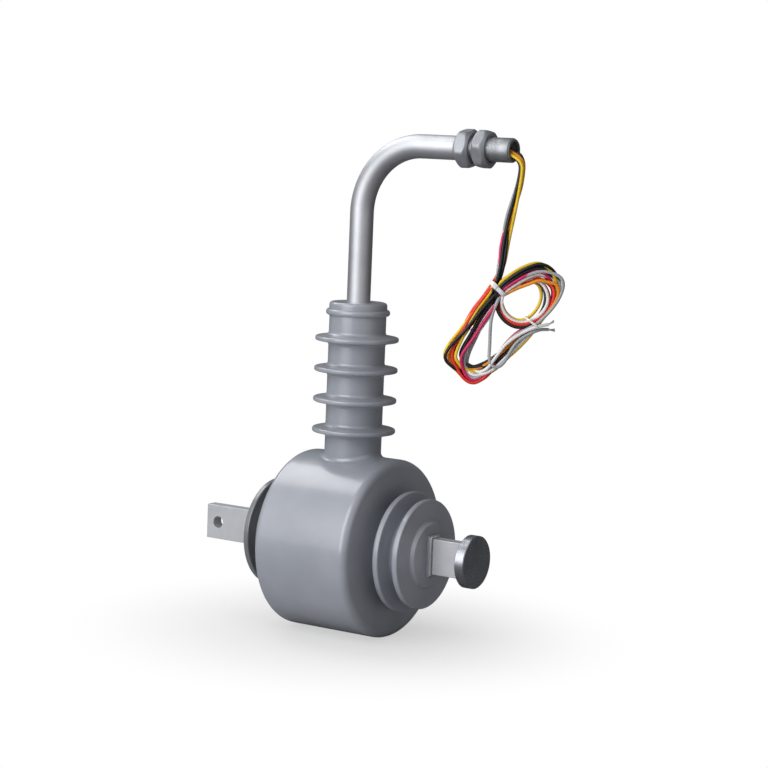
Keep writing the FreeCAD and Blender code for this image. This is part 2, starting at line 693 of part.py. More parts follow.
def from_hank(point):
    """A point of the hank's plane, counted from the conduit's mouth along the part's own axes."""
    sideways, forwards, up = point
    swing = math.radians(s.hank_swing.value)
    x = HANK_ORIGIN[0] + sideways * math.cos(swing) + forwards * math.sin(swing)
    y = HANK_ORIGIN[1] + sideways * math.sin(swing) - forwards * math.cos(swing)
    return (x, y, up)


def make_tails():
    for colour, points in TAILS.items():
        points = [from_hank(point) for point in points]
        label = "tail_" + colour
        tube(label, rounded_path(label, points), s.lead_dia.value)
        start = mouth + FreeCAD.Vector(*points[-1])
        direction = (start - mouth - FreeCAD.Vector(*points[-2])).normalize()
        finish = start + direction * s.strand_length.value
        tube("bare_end_" + colour, [Part.LineSegment(start, finish).toShape()], s.strand_dia.value)


make_casting()
make_primary()
make_windings()
make_conduit()
make_nuts()
make_leads()
hank_body = make_hank()
make_tie("wide_tie", hank_body, (-7.6, -147.1), -43.0, 23.0, s.tie_width)
make_tie("thin_tie", hank_body, (31.8, -182.9), -34.9, 19.0, s.thin_tie_width)
make_tails()
doc.recompute()

for item in doc.Objects:
    if "Invalid" in item.State or "Error" in item.State:
        raise RuntimeError("%s failed: %s" % (item.Name, item.State))
for label, item in parts.items():
    if item.Shape.isNull() or not item.Shape.isValid() or item.Shape.Volume <= 0:
        raise RuntimeError("%s has no valid solid" % label)

os.makedirs("parts", exist_ok=True)
for label, item in parts.items():
    item.Shape.exportStep(os.path.join("parts", label + ".step"))
print("%d nodes written" % len(parts))
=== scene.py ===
import math

import bmesh
import bpy
from mathutils import Matrix, Vector


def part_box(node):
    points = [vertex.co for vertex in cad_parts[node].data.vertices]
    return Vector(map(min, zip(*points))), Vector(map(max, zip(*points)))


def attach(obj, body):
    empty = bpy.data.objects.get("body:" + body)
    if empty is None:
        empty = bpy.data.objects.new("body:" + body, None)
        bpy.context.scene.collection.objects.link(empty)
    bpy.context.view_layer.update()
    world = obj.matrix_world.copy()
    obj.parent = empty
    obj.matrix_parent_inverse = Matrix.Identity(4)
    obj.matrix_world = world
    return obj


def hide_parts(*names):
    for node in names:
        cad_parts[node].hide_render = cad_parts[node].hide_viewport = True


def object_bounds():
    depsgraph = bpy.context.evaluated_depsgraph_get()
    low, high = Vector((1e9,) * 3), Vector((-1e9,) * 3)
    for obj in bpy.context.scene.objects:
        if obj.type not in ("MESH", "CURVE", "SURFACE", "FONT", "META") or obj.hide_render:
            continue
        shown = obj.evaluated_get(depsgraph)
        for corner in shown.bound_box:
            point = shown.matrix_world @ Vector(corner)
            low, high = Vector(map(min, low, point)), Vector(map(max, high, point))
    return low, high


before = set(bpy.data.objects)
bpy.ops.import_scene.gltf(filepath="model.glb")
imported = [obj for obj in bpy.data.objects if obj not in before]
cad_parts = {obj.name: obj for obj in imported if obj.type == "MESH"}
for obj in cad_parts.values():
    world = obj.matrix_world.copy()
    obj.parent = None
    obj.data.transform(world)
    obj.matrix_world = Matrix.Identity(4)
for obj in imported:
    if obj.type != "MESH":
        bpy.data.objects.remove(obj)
cad_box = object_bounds()

# The camera. It sees the transformer's near side, a third turned, from a little above the bar and with a
# long lens, and it leans slightly, so that the neck isn't quite upright in the frame.
VIEW_AZIMUTH, VIEW_ELEVATION, VIEW_ROLL = math.radians(33.19), math.radians(6.56), math.radians(2.31)
VIEW_DISTANCE = 2.563
VIEW_TARGET = Vector((0.1825, 0.0, 0.150))
SLIDE_RIGHT, SLIDE_UP = 0.03369, 0.03118
LENS_MM, SENSOR_MM = 106.06, 36.0

ahead = Vector((-math.sin(VIEW_AZIMUTH) * math.cos(VIEW_ELEVATION),
                math.cos(VIEW_AZIMUTH) * math.cos(VIEW_ELEVATION), -math.sin(VIEW_ELEVATION)))
level_right = Vector((math.cos(VIEW_AZIMUTH), math.sin(VIEW_AZIMUTH), 0.0))
level_up = level_right.cross(ahead)
right = level_right * math.cos(VIEW_ROLL) + level_up * math.sin(VIEW_ROLL)
up = level_up * math.cos(VIEW_ROLL) - level_right * math.sin(VIEW_ROLL)

camera = bpy.data.objects.new("camera", bpy.data.cameras.new("camera"))
camera.data.lens = LENS_MM
camera.data.sensor_width = SENSOR_MM
camera.data.clip_end = 20.0
facing = Matrix((right, up, -ahead)).transposed().to_4x4()
camera.matrix_world = Matrix.Translation(
    VIEW_TARGET + right * SLIDE_RIGHT + up * SLIDE_UP - ahead * VIEW_DISTANCE) @ facing
bpy.context.scene.collection.objects.link(camera)
bpy.context.scene.camera = camera
bpy.context.scene.view_settings.view_transform = "Standard"

# The parts inside the casting. Two ring cores of wound strip steel are taped, wound with enamelled wire
# and set round the bar's paper sleeve, with a pressboard spacer between them and a soft cushion over both.
# A plastic block leads the wires out into the conduit, whose foot stands in a steel ring.

# Each finish's solids, its two colours and how metallic it is
HIDDEN_PARTS = {
    "sleeve_paper": (("primary_sleeve",), (0.42, 0.27, 0.13), (0.55, 0.37, 0.19), 0.0),
    "core_steel": (("measuring_core", "protection_core"), (0.32, 0.33, 0.35), (0.45, 0.46, 0.48), 1.0),
    "core_tape": (("measuring_core_wrap", "protection_core_wrap"),
                  (0.70, 0.66, 0.52), (0.80, 0.77, 0.66), 0.0),
    "enamelled_wire": (("measuring_winding", "protection_winding"),
                       (0.40, 0.13, 0.05), (0.62, 0.25, 0.10), 0.7),
    "pressboard": (("winding_spacer",), (0.50, 0.36, 0.20), (0.60, 0.46, 0.28), 0.0),
    "soft_cushion": (("winding_cushion",), (0.62, 0.62, 0.60), (0.74, 0.74, 0.72), 0.0),
    "outlet_plastic": (("lead_outlet_block",), (0.10, 0.10, 0.11), (0.16, 0.16, 0.17), 0.0),
    "foot_steel": (("conduit_foot_ring",), (0.42, 0.43, 0.45), (0.55, 0.56, 0.58), 1.0),
}
# The part of a noise's range in which a patch goes from its low colour to its high one
PATCH_LOW, PATCH_HIGH = 0.32, 0.68


def new_nodes(tree, *kinds):
    """New shader nodes of these kinds in a node tree."""
    return [tree.nodes.new("ShaderNode" + kind) for kind in kinds]


def new_group(name, inputs, outputs):
    """A shader node group with named sockets, and the two nodes that stand for its ends."""
    group = bpy.data.node_groups.new(name, "ShaderNodeTree")
    for way, sockets in (("INPUT", inputs), ("OUTPUT", outputs)):
        for socket, kind in sockets.items():
            group.interface.new_socket(socket, in_out=way, socket_type="NodeSocket" + kind)
    return group, group.nodes.new("NodeGroupInput"), group.nodes.new("NodeGroupOutput")


def cloud_group():
    """Soft uneven patches over a surface: a colour and a gloss between two each, and a fine height."""
    group, entry, leave = new_group(
        "surface_clouds",
        {"Patch Size": "Float", "Grain Size": "Float", "Low Colour": "Color", "High Colour": "Color",
         "Low Roughness": "Float", "High Roughness": "Float"},
        {"Colour": "Color", "Roughness": "Float", "Height": "Float"})
    place, patches, grain, spread, colour, shine = new_nodes(
        group, "TexCoord", "TexNoise", "TexNoise", "MapRange", "Mix", "Mix")
    patches.inputs["Detail"].default_value = 4.0
    grain.inputs["Detail"].default_value = 3.0
    spread.inputs["From Min"].default_value = PATCH_LOW
    spread.inputs["From Max"].default_value = PATCH_HIGH
    colour.data_type = "RGBA"
    links = group.links
    for noise, size in ((patches, "Patch Size"), (grain, "Grain Size")):
        links.new(place.outputs["Object"], noise.inputs["Vector"])
        links.new(entry.outputs[size], noise.inputs["Scale"])
    links.new(patches.outputs["Fac"], spread.inputs["Value"])
    links.new(spread.outputs["Result"], colour.inputs["Factor"])
    links.new(entry.outputs["Low Colour"], colour.inputs["A"])
    links.new(entry.outputs["High Colour"], colour.inputs["B"])
    links.new(grain.outputs["Fac"], shine.inputs["Factor"])
    links.new(entry.outputs["Low Roughness"], shine.inputs["A"])
    links.new(entry.outputs["High Roughness"], shine.inputs["B"])
    links.new(colour.outputs["Result"], leave.inputs["Colour"])
    links.new(shine.outputs["Result"], leave.inputs["Roughness"])
    links.new(grain.outputs["Fac"], leave.inputs["Height"])
    return group


surface_clouds = cloud_group()


def finish_material(name, low, high, roughness, own=None, patch=60.0, grain=900.0, bump=0.05,
                    bump_depth=0.0001):
    """A material whose colour and gloss drift softly over the surface; own holds other shader values."""
    material = bpy.data.materials.new(name)
    material.use_nodes = True
    tree = material.node_tree
    shader = tree.nodes["Principled BSDF"]
    for socket, value in (own or {}).items():
        shader.inputs[socket].default_value = value
    clouds, relief = new_nodes(tree, "Group", "Bump")
    clouds.node_tree = surface_clouds
    clouds.inputs["Patch Size"].default_value = patch
    clouds.inputs["Grain Size"].default_value = grain
    clouds.inputs["Low Colour"].default_value = (*low, 1.0)
    clouds.inputs["High Colour"].default_value = (*high, 1.0)
    clouds.inputs["Low Roughness"].default_value = roughness[0]
    clouds.inputs["High Roughness"].default_value = roughness[1]
    relief.inputs["Strength"].default_value = bump
    relief.inputs["Distance"].default_value = bump_depth
    tree.links.new(clouds.outputs["Colour"], shader.inputs["Base Color"])
    tree.links.new(clouds.outputs["Roughness"], shader.inputs["Roughness"])
    tree.links.new(clouds.outputs["Height"], relief.inputs["Height"])
    tree.links.new(relief.outputs["Normal"], shader.inputs["Normal"])
    return material


def dress_node(node, material):
    """Gives a CAD solid its finish."""
    for slot in bpy.data.objects[node].material_slots:
        slot.material = material


for finish, (nodes_of_finish, low, high, metal) in HIDDEN_PARTS.items():
    hidden = finish_material("hidden_" + finish, low, high, (0.45, 0.65), {"Metallic": metal},
                             patch=45.0, grain=800.0, bump=0.2)
    for node in nodes_of_finish:
        dress_node(node, hidden)

# The primary bar and its pad. Both are tin-plated copper. The bar is drawn flat and left satin; the round
# pad is turned, so that its faces carry fine rings which spread the light in a bow, and brazed to the bar.
bar_tin = finish_material("tinned_bar", (0.45, 0.46, 0.49), (0.54, 0.55, 0.58), (0.42, 0.54),
                          {"Metallic": 0.4}, patch=26.0, grain=700.0, bump=0.08, bump_depth=0.0002)
dress_node("primary_bar", bar_tin)


def turned_group():
    """Fine turning rings round the bar's axis, as a height that rises and falls with the radius."""
    group, entry, leave = new_group("turned_rings", {"Rings per Metre": "Float"}, {"Height": "Float"})
    place, axes, across, radius, rings = new_nodes(
        group, "TexCoord", "SeparateXYZ", "CombineXYZ", "VectorMath", "TexNoise")
    radius.operation = "LENGTH"
    rings.noise_dimensions = "1D"
    rings.inputs["Detail"].default_value = 0.5
    links = group.links
    links.new(place.outputs["Object"], axes.inputs["Vector"])
    links.new(axes.outputs["Y"], across.inputs["Y"])
    links.new(axes.outputs["Z"], across.inputs["Z"])
    links.new(across.outputs["Vector"], radius.inputs[0])
    links.new(radius.outputs["Value"], rings.inputs["W"])
    links.new(entry.outputs["Rings per Metre"], rings.inputs["Scale"])
    links.new(rings.outputs["Fac"], leave.inputs["Height"])
    return group


turned_rings = turned_group()


def turn_surface(material, rings, strength, distance):
    """Lays turning rings over a material's own relief, and makes its shine run round the bar's axis."""
    tree = material.node_tree
    shader = tree.nodes["Principled BSDF"]
    turning, relief, grain_way = new_nodes(tree, "Group", "Bump", "Tangent")
    turning.node_tree = turned_rings
    turning.inputs["Rings per Metre"].default_value = rings
    relief.inputs["Strength"].default_value = strength
    relief.inputs["Distance"].default_value = distance
    grain_way.direction_type = "RADIAL"
    grain_way.axis = "X"
    tree.links.new(shader.inputs["Normal"].links[0].from_socket, relief.inputs["Normal"])
    tree.links.new(turning.outputs["Height"], relief.inputs["Height"])
    tree.links.new(relief.outputs["Normal"], shader.inputs["Normal"])
    tree.links.new(grain_way.outputs["Tangent"], shader.inputs["Tangent"])


pad_tin = finish_material("tinned_pad", (0.27, 0.28, 0.31), (0.33, 0.34, 0.37), (0.25, 0.30),
                          {"Metallic": 0.9, "Anisotropic": 0.6},
                          patch=50.0, grain=120.0, bump=0.01, bump_depth=0.00005)
turn_surface(pad_tin, rings=260.0, strength=0.03, distance=0.00002)
dress_node("terminal_pad", pad_tin)

# The conduit. A zinc-coated steel tube, bent cold through a quarter turn, with a thread rolled into its
# run and a short stretch left smooth at the mouth. Its foot is cast into the neck.
MM = 0.001
TUBE_RADIUS, TUBE_BORE, BEND_RADIUS = 13.35, 10.45, 77.0
tube_low, tube_high = (Vector(corner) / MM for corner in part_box("conduit_tube"))
TUBE_AXIS_X, FOOT_LOW = tube_low.x + TUBE_RADIUS, tube_low.z
RUN_HEIGHT, TUBE_END = tube_high.z - TUBE_RADIUS, tube_high.x
BEND_LOW = RUN_HEIGHT - BEND_RADIUS
UPRIGHT_HEIGHTS = (FOOT_LOW, 180.0, 275.0, 330.0, BEND_LOW)
MOUTH_CHAMFER, THREAD_SHOULDER = 0.6, 0.5
THREAD_START, THREAD_STOP, THREAD_PITCH, THREAD_DEPTH = 302.5, 362.5, 1.81, 0.24
# How far the thread takes to reach its full depth, how far to run out, and its flanks' slope and crest
THREAD_RISE, THREAD_RUNOUT, THREAD_SLOPE, THREAD_CREST = 2.5, 2.0, 3.2, 0.3
SPOTS_ROUND_TUBE, BEND_STEPS, STEPS_PER_THREAD = 64, 40, 8
ACROSS_UPRIGHT, ACROSS_RUN = (1.0, 0.0), (0.0, -1.0)


def ring_round(mesh, middle, way, radii):
    """A ring of points round a tube's middle, with its own radius at each point.

    The middle is the place along the bar and the height, in millimetres. The way is the direction in the
    same two numbers in which the first point lies."""
    ring = []
    for spot, radius in enumerate(radii):
        turn = 2.0 * math.pi * spot / len(radii)
        ring.append(mesh.verts.new(Vector((middle[0] + way[0] * radius * math.cos(turn),
                                           radius * math.sin(turn),
                                           middle[1] + way[1] * radius * math.cos(turn))) * MM))
    return ring


def skin_rings(mesh, rings):
    """Faces from each ring to the next, and from the last back to the first."""
    for ring, following in zip(rings, rings[1:] + rings[:1]):
        for spot in range(len(ring)):
            beside = (spot + 1) % len(ring)
            mesh.faces.new((ring[spot], ring[beside], following[beside], following[spot]))


def shaded_piece(name, mesh, material, sharp_from=None):
    """A piece made from a mesh, smooth to the eye but for its edges from one angle in degrees on."""
    bmesh.ops.recalc_face_normals(mesh, faces=mesh.faces)
    data = bpy.data.meshes.new(name)
    mesh.to_mesh(data)
    mesh.free()
    data.polygons.foreach_set("use_smooth", [True] * len(data.polygons))
    if sharp_from is not None:
        data.set_sharp_from_angle(angle=math.radians(sharp_from))
    data.materials.append(material)
    piece = bpy.data.objects.new(name, data)
    bpy.context.scene.collection.objects.link(piece)
    return piece


def bend_place(step):
    """The conduit's middle, and the direction across it, at one step of its bend."""
    turn = math.radians(90.0) * step / BEND_STEPS
    middle = (TUBE_AXIS_X + BEND_RADIUS * (1.0 - math.cos(turn)), BEND_LOW + BEND_RADIUS * math.sin(turn))
    return middle, (math.cos(turn), -math.sin(turn))


def thread_radii(along):
    """The threaded stretch's outside at one place along it, all the way round."""
    fade = max(min((along - THREAD_START) / THREAD_RISE, (THREAD_STOP - along) / THREAD_RUNOUT, 1.0), 0.0)
    radii = []
    for spot in range(SPOTS_ROUND_TUBE):
        phase = (along / THREAD_PITCH - spot / SPOTS_ROUND_TUBE) % 1.0
        cut = min(max(abs(phase - 0.5) * THREAD_SLOPE - THREAD_CREST, 0.0), 1.0)
        radii.append(TUBE_RADIUS - THREAD_DEPTH * fade * cut)
    return radii


outside, bore = [TUBE_RADIUS] * SPOTS_ROUND_TUBE, [TUBE_BORE] * SPOTS_ROUND_TUBE
mesh = bmesh.new()
rings = [ring_round(mesh, (TUBE_AXIS_X, height), ACROSS_UPRIGHT, outside) for height in UPRIGHT_HEIGHTS]
rings += [ring_round(mesh, *bend_place(step), outside) for step in range(1, BEND_STEPS + 1)]
thread_steps = round((THREAD_STOP - THREAD_START) / THREAD_PITCH * STEPS_PER_THREAD)
for step in range(thread_steps + 1):
    along = THREAD_START + (THREAD_STOP - THREAD_START) * step / thread_steps
    rings.append(ring_round(mesh, (along, RUN_HEIGHT), ACROSS_RUN, thread_radii(along)))
for along in (THREAD_STOP + THREAD_SHOULDER, TUBE_END - MOUTH_CHAMFER):
    rings.append(ring_round(mesh, (along, RUN_HEIGHT), ACROSS_RUN, outside))
mouth_edge = [TUBE_RADIUS - MOUTH_CHAMFER] * SPOTS_ROUND_TUBE
rings += [ring_round(mesh, (TUBE_END, RUN_HEIGHT), ACROSS_RUN, radii) for radii in (mouth_edge, bore)]
rings += [ring_round(mesh, *bend_place(step), bore) for step in range(BEND_STEPS, -1, -1)]
rings.append(ring_round(mesh, (TUBE_AXIS_X, FOOT_LOW), ACROSS_UPRIGHT, bore))
skin_rings(mesh, rings)


def stretch_group():
    """A mask that rises along the bar's direction, from one place to another."""
    group, entry, leave = new_group(
        "stretch_along_bar", {"Start": "Float", "End": "Float", "Most": "Float"}, {"Mask": "Float"})
    place, axes, reach = new_nodes(group, "TexCoord", "SeparateXYZ", "MapRange")
    links = group.links
    links.new(place.outputs["Object"], axes.inputs["Vector"])
    links.new(axes.outputs["X"], reach.inputs["Value"])
    links.new(entry.outputs["Start"], reach.inputs["From Min"])
    links.new(entry.outputs["End"], reach.inputs["From Max"])
    links.new(entry.outputs["Most"], reach.inputs["To Max"])
    links.new(reach.outputs["Result"], leave.inputs["Mask"])
    return group


stretch_along_bar = stretch_group()


def darken_stretch(material, start, end, most, tint):
    """Darkens a material's colour towards a tint from one place along the bar's direction on, fully from
    another.
    """
    tree = material.node_tree
    base = tree.nodes["Principled BSDF"].inputs["Base Color"]
    stretch, darkened = new_nodes(tree, "Group", "Mix")
    stretch.node_tree = stretch_along_bar
    stretch.inputs["Start"].default_value = start
    stretch.inputs["End"].default_value = end
    stretch.inputs["Most"].default_value = most
    darkened.data_type = "RGBA"
    darkened.inputs["B"].default_value = (*tint, 1.0)
    tree.links.new(stretch.outputs["Mask"], darkened.inputs["Factor"])
    tree.links.new(base.links[0].from_socket, darkened.inputs["A"])
    tree.links.new(darkened.outputs["Result"], base)


conduit_zinc = finish_material("conduit_zinc", (0.46, 0.475, 0.505), (0.56, 0.57, 0.60), (0.50, 0.58),
                               {"Metallic": 1.0}, patch=18.0, grain=420.0, bump=0.03)
# The conduit's colour is darker along its threaded end, from within the inner nut to the mouth.
darken_stretch(conduit_zinc, start=0.318, end=0.330, most=0.70, tint=(0.25, 0.26, 0.275))
conduit = shaded_piece("threaded_conduit", mesh, conduit_zinc, sharp_from=50.0)
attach(conduit, "root")
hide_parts("conduit_tube")

# The resin casting. Grey filled epoxy, cast in a polished mould round all the parts above: satin, with a
# slight orange peel. Where the bar leaves it, the resin crept up the bar and set as a thin hollow skirt.
resin = finish_material("cast_resin", (0.260, 0.277, 0.318), (0.328, 0.345, 0.390), (0.27, 0.40),
                        {"Coat Weight": 0.66, "Coat Roughness": 0.19},
                        patch=11.0, grain=380.0, bump=0.07, bump_depth=0.0004)
# Painted shade: beyond the body's edge, the end towards the bar's hole is painted dark where it lies in
# shade.
darken_stretch(resin, start=0.1225, end=0.1165, most=0.62, tint=(0.060, 0.064, 0.056))
dress_node("resin_casting", resin)

# The skirt's section: how far out from the bar, and how far along it from the casting's lip
SKIRT = ((3.2, -0.6), (2.6, 0.0), (1.5, 0.5), (0.8, 1.3), (0.3, 2.6), (-0.1, 3.2))
SKIRT_CORNER, SKIRT_CORNER_STEPS = 0.5, 4
casting_low, casting_high = (Vector(corner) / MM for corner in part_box("resin_casting"))
casting_middle, lip_face = (casting_low.x + casting_high.x) / 2, (casting_high.x - casting_low.x) / 2
bar_half = Vector(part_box("primary_bar")[1]) / MM
mesh = bmesh.new()
for side in (-1.0, 1.0):
    rings = []
    for out, along in SKIRT:
        ring = []
        for across, height in ((-1.0, -1.0), (1.0, -1.0), (1.0, 1.0), (-1.0, 1.0)):
            for step in range(SKIRT_CORNER_STEPS + 1):
                swing = math.atan2(height, across) + math.radians(90.0 * step / SKIRT_CORNER_STEPS - 45.0)
                ring.append(mesh.verts.new(Vector((
                    casting_middle + side * (lip_face + along),
                    across * (bar_half.y - SKIRT_CORNER) + (out + SKIRT_CORNER) * math.cos(swing),
                    height * (bar_half.z - SKIRT_CORNER) + (out + SKIRT_CORNER) * math.sin(swing))) * MM))
        rings.append(ring)
    skin_rings(mesh, rings)
# Painted highlight: the skirts' resin is painted far lighter than the casting, standing in for the light
# that catches their rims.
skirt_highlight_resin = finish_material("skirt_highlight_resin", (0.50, 0.51, 0.54), (0.62, 0.63, 0.66), (0.30, 0.44),
                             grain=380.0, bump=0.07, bump_depth=0.0003)
skirts = shaded_piece("resin_skirts", mesh, skirt_highlight_resin)
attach(skirts, "root")

# The two lock nuts. Hexagon steel nuts, turned to a wide chamfer on both sides so that each flat ends in
# a curve, zinc plated, and run up the thread by hand, so that their corners don't line up.
NUT_FLAT, NUT_REACH, NUT_FACE_RADIUS, NUT_SLOPE = 19.7, 21.9, 17.4, 1.15
# The higher it is, the crisper are the edges between flats, chamfer and corners
NUT_CRISPNESS = 64
SPOTS_ROUND_NUT = 144
# Where each nut's nearer face lies, its width, and its turn in degrees
NUTS = {"inner_lock_nut": (309.0, 17.5, 14.0), "outer_lock_nut": (331.3, 16.5, -8.5)}
# Where its outside is shaped, as shares of the width, from the nearer face to the middle
NUT_NEAR_SHARES = (0.0, 0.04, 0.08, 0.12, 0.16, 0.20, 0.26, 0.34)
# The bore, by share of the width and clearance round the conduit, with a wide start at both faces
NUT_BORE = ((1.0, 0.9), (0.93, 0.10), (0.07, 0.10), (0.0, 0.9))


def nut_radius(turn, depth):
    """A nut's outside at one angle and one distance from its nearer face, with its edges rounded off."""
    flat = NUT_FLAT / math.cos((turn + math.pi / 6) % (math.pi / 3) - math.pi / 6)
    cone = NUT_FACE_RADIUS + NUT_SLOPE * depth
    return sum(reach ** -NUT_CRISPNESS for reach in (flat, cone, NUT_REACH)) ** (-1.0 / NUT_CRISPNESS)


nut_zinc = finish_material("nut_zinc", (0.27, 0.285, 0.31), (0.35, 0.365, 0.39), (0.50, 0.60),
                           {"Metallic": 0.75}, patch=55.0, grain=620.0, bump=0.08, bump_depth=0.0002)
for node, (near_face, width, twist) in NUTS.items():
    mesh = bmesh.new()
    rings = []
    for share in (*NUT_NEAR_SHARES, 0.5, *(1.0 - near for near in reversed(NUT_NEAR_SHARES))):
        depth = width * min(share, 1.0 - share)
        radii = [nut_radius(2.0 * math.pi * spot / SPOTS_ROUND_NUT - math.radians(twist), depth)
                 for spot in range(SPOTS_ROUND_NUT)]
        rings.append(ring_round(mesh, (near_face + width * share, RUN_HEIGHT), ACROSS_RUN, radii))
    for share, clearance in NUT_BORE:
        rings.append(ring_round(mesh, (near_face + width * share, RUN_HEIGHT), ACROSS_RUN,
                                [TUBE_RADIUS + clearance] * SPOTS_ROUND_NUT))
    skin_rings(mesh, rings)
    nut = shaded_piece("chamfered_" + node, mesh, nut_zinc, sharp_from=38.0)
    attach(nut, "root")
    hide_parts(node)

# The end bush and the seal. The bush is dark moulded nylon, pushed into the conduit's mouth so that its
# rim guards the leads from the cut edge. A dark compound is poured round the leads and sinks as it sets.
bush_black = finish_material("bush_plastic", (0.095, 0.102, 0.106), (0.135, 0.143, 0.148), (0.35, 0.5),
                             grain=500.0, bump=0.1)
dress_node("conduit_end_bush", bush_black)

# The compound's section, by place along the run and radius
COMPOUND = ((373.6, 9.4), (373.2, 8.0), (372.6, 6.2), (371.6, 4.6), (369.6, 3.6), (366.8, 2.8),
            (365.4, 1.2), (362.9, 1.2), (362.9, 9.4))
SPOTS_ROUND_COMPOUND = 48
mesh = bmesh.new()
skin_rings(mesh, [ring_round(mesh, (along, RUN_HEIGHT), ACROSS_RUN, [radius] * SPOTS_ROUND_COMPOUND)
                  for along, radius in COMPOUND])
compound_black = finish_material("compound", (0.035, 0.040, 0.042), (0.065, 0.072, 0.075), (0.5, 0.7),
                                 patch=120.0, grain=600.0, bump=0.2)
compound = shaded_piece("mouth_compound", mesh, compound_black)
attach(compound, "root")

# The secondary leads. Eight limp, plastic-covered copper leads come out of the conduit's end bush, twist a
# quarter turn as they drop, and are gathered into one flat hank that hangs by its own leads. Two of them
# end in stripped, tinned tails beside the hank.
MOUTH = Vector((TUBE_END, 0.0, RUN_HEIGHT)) * MM
LEAD_RADIUS = 1.8
HANK_SWING = math.radians(33.0)
HANK_FOOT = Vector((375.7, -8.0, 0.0)) * MM
HANK_HALF_DEPTH = 9.2


def in_hank(sideways, height, depth):
    """A point of the hank's upright plane, depth counted away from the near side, in millimetres."""
    across = Vector((math.cos(HANK_SWING), math.sin(HANK_SWING), 0.0))
    through = Vector((-math.sin(HANK_SWING), math.cos(HANK_SWING), 0.0))
    return HANK_FOOT + (across * sideways + through * depth + Vector((0.0, 0.0, height))) * MM


# The drop of each lead, in millimetres from the middle of the conduit's mouth
DROPS = {
    "yellow": ((-12.0, -6.1, 0.3), (5.2, -5.0, -5.9), (15.3, -5.2, -13.6), (15.2, -5.2, -25.0),
               (13.4, -6.1, -41.9), (8.5, -5.8, -69.2), (2.2, -5.2, -98.9), (-0.7, -7.4, -129.0)),
    "amber": ((-12.0, -3.9, 3.6), (5.6, -2.2, -3.4), (15.2, -1.6, -12.6), (14.9, -1.5, -25.0),
              (13.1, -2.4, -41.2), (5.1, -4.9, -68.8), (-1.1, -6.7, -98.9), (-2.5, -4.2, -129.0)),
    "black_a": ((-12.0, -2.8, -1.9), (4.4, -1.8, -7.2), (11.9, -3.4, -15.0), (11.7, -3.8, -25.0),
                (9.5, -5.6, -42.2), (3.4, -8.1, -69.9), (-0.4, -11.5, -99.7), (-1.2, -13.5, -129.6)),
    "red": ((-12.0, -0.6, 1.5), (4.4, 1.2, -3.6), (13.1, 1.6, -13.0), (12.9, 1.7, -25.0),
            (9.8, -0.6, -41.5), (6.4, -1.8, -69.5), (-0.5, -2.7, -99.6), (-4.9, -6.8, -129.7)),
    "grey": ((-12.0, 0.6, -4.1), (4.0, 1.6, -7.2), (9.8, -0.2, -15.2), (9.6, -0.6, -25.0),
             (6.9, -2.5, -41.8), (-0.3, -7.9, -70.1), (-5.5, -5.1, -100.3), (-4.8, -13.2, -130.3)),
    "black_b": ((-12.0, 2.8, -0.7), (4.6, 3.4, -0.2), (11.8, 4.6, -11.8), (10.9, 4.8, -25.0),
                (7.5, 2.2, -42.5), (2.3, -2.4, -70.5), (2.0, -8.9, -100.4), (0.8, -10.7, -130.4)),
    "white": ((-12.0, 3.9, -6.0), (3.0, 4.7, -5.3), (8.9, 3.4, -12.6), (8.3, 2.7, -25.0),
              (4.6, 0.3, -42.8), (-0.6, -4.2, -71.2), (-5.9, -8.5, -101.1), (-6.6, -10.0, -131.0)),
    "rose": ((-12.0, 6.1, -2.9), (3.9, 6.9, -2.6), (9.0, 6.9, -10.8), (7.6, 6.4, -24.0),
             (4.1, 3.9, -42.1), (-0.8, -0.5, -70.8), (-4.0, -11.7, -101.1), (-3.3, -10.0, -131.0)),
}
# The long loop's two edges all the way round, outside and inside, from below the tie down the near limb,
# round the bottom, up the far limb, over the top and back to the tie
LONG_LOOP = (
    ((-22.8, 295.9), (-5.7, 282.6)), ((-34.5, 281.5), (-15.1, 267.1)), ((-48.0, 258.2), (-24.4, 248.2)),
    ((-60.6, 239.4), (-30.6, 236.0)), ((-64.0, 226.1), (-32.5, 229.4)), ((-54.1, 213.9), (-31.3, 225.0)),
    ((-41.5, 202.8), (-30.1, 222.7)), ((-29.2, 198.3), (-28.9, 221.6)), ((-16.0, 201.7), (-24.6, 223.8)),
    ((-3.1, 210.5), (-17.0, 228.3)), ((8.5, 226.1), (-6.3, 237.2)), ((20.2, 239.4), (4.4, 248.2)),
    ((33.0, 253.8), (14.0, 258.2)), ((43.5, 269.3), (28.2, 263.8)), ((51.9, 282.6), (39.0, 271.5)),
    ((60.8, 295.9), (48.4, 284.8)), ((65.2, 311.5), (51.4, 295.9)), ((62.6, 322.6), (50.0, 303.7)),
    ((51.1, 333.7), (45.4, 307.0)), ((36.5, 337.5), (37.5, 312.0)), ((19.0, 332.0), (26.6, 307.6)),
    ((3.9, 322.6), (14.0, 303.2)), ((-10.6, 309.3), (2.1, 295.9)),
)
# How much of its depth a lead keeps at the stations that the tie pulls together
HELD_BY_TIE = {0: 0.80, 1: 0.92, 21: 0.92, 22: 0.80}
# How much a lead wavers, as a share of the loop's breadth and in depth, and how fast from station to station
WAVER_ACROSS, WAVER_THROUGH = 0.022, 0.4
WAVER_STEP_ACROSS, WAVER_STEP_THROUGH = 1.7, 0.9
# The short ring that some leads make before they are tucked in, through the middle of its thickness
SHORT_RING = (
    (-5.0, 287.1), (-1.1, 277.1), (6.9, 269.3), (18.2, 265.4), (30.2, 269.3), (39.8, 278.2),
    (45.5, 289.3), (44.6, 300.4), (37.6, 309.3), (26.5, 310.9), (14.4, 307.0), (2.0, 298.2),
)
RING_MIDDLE = (18.5, 289.5)
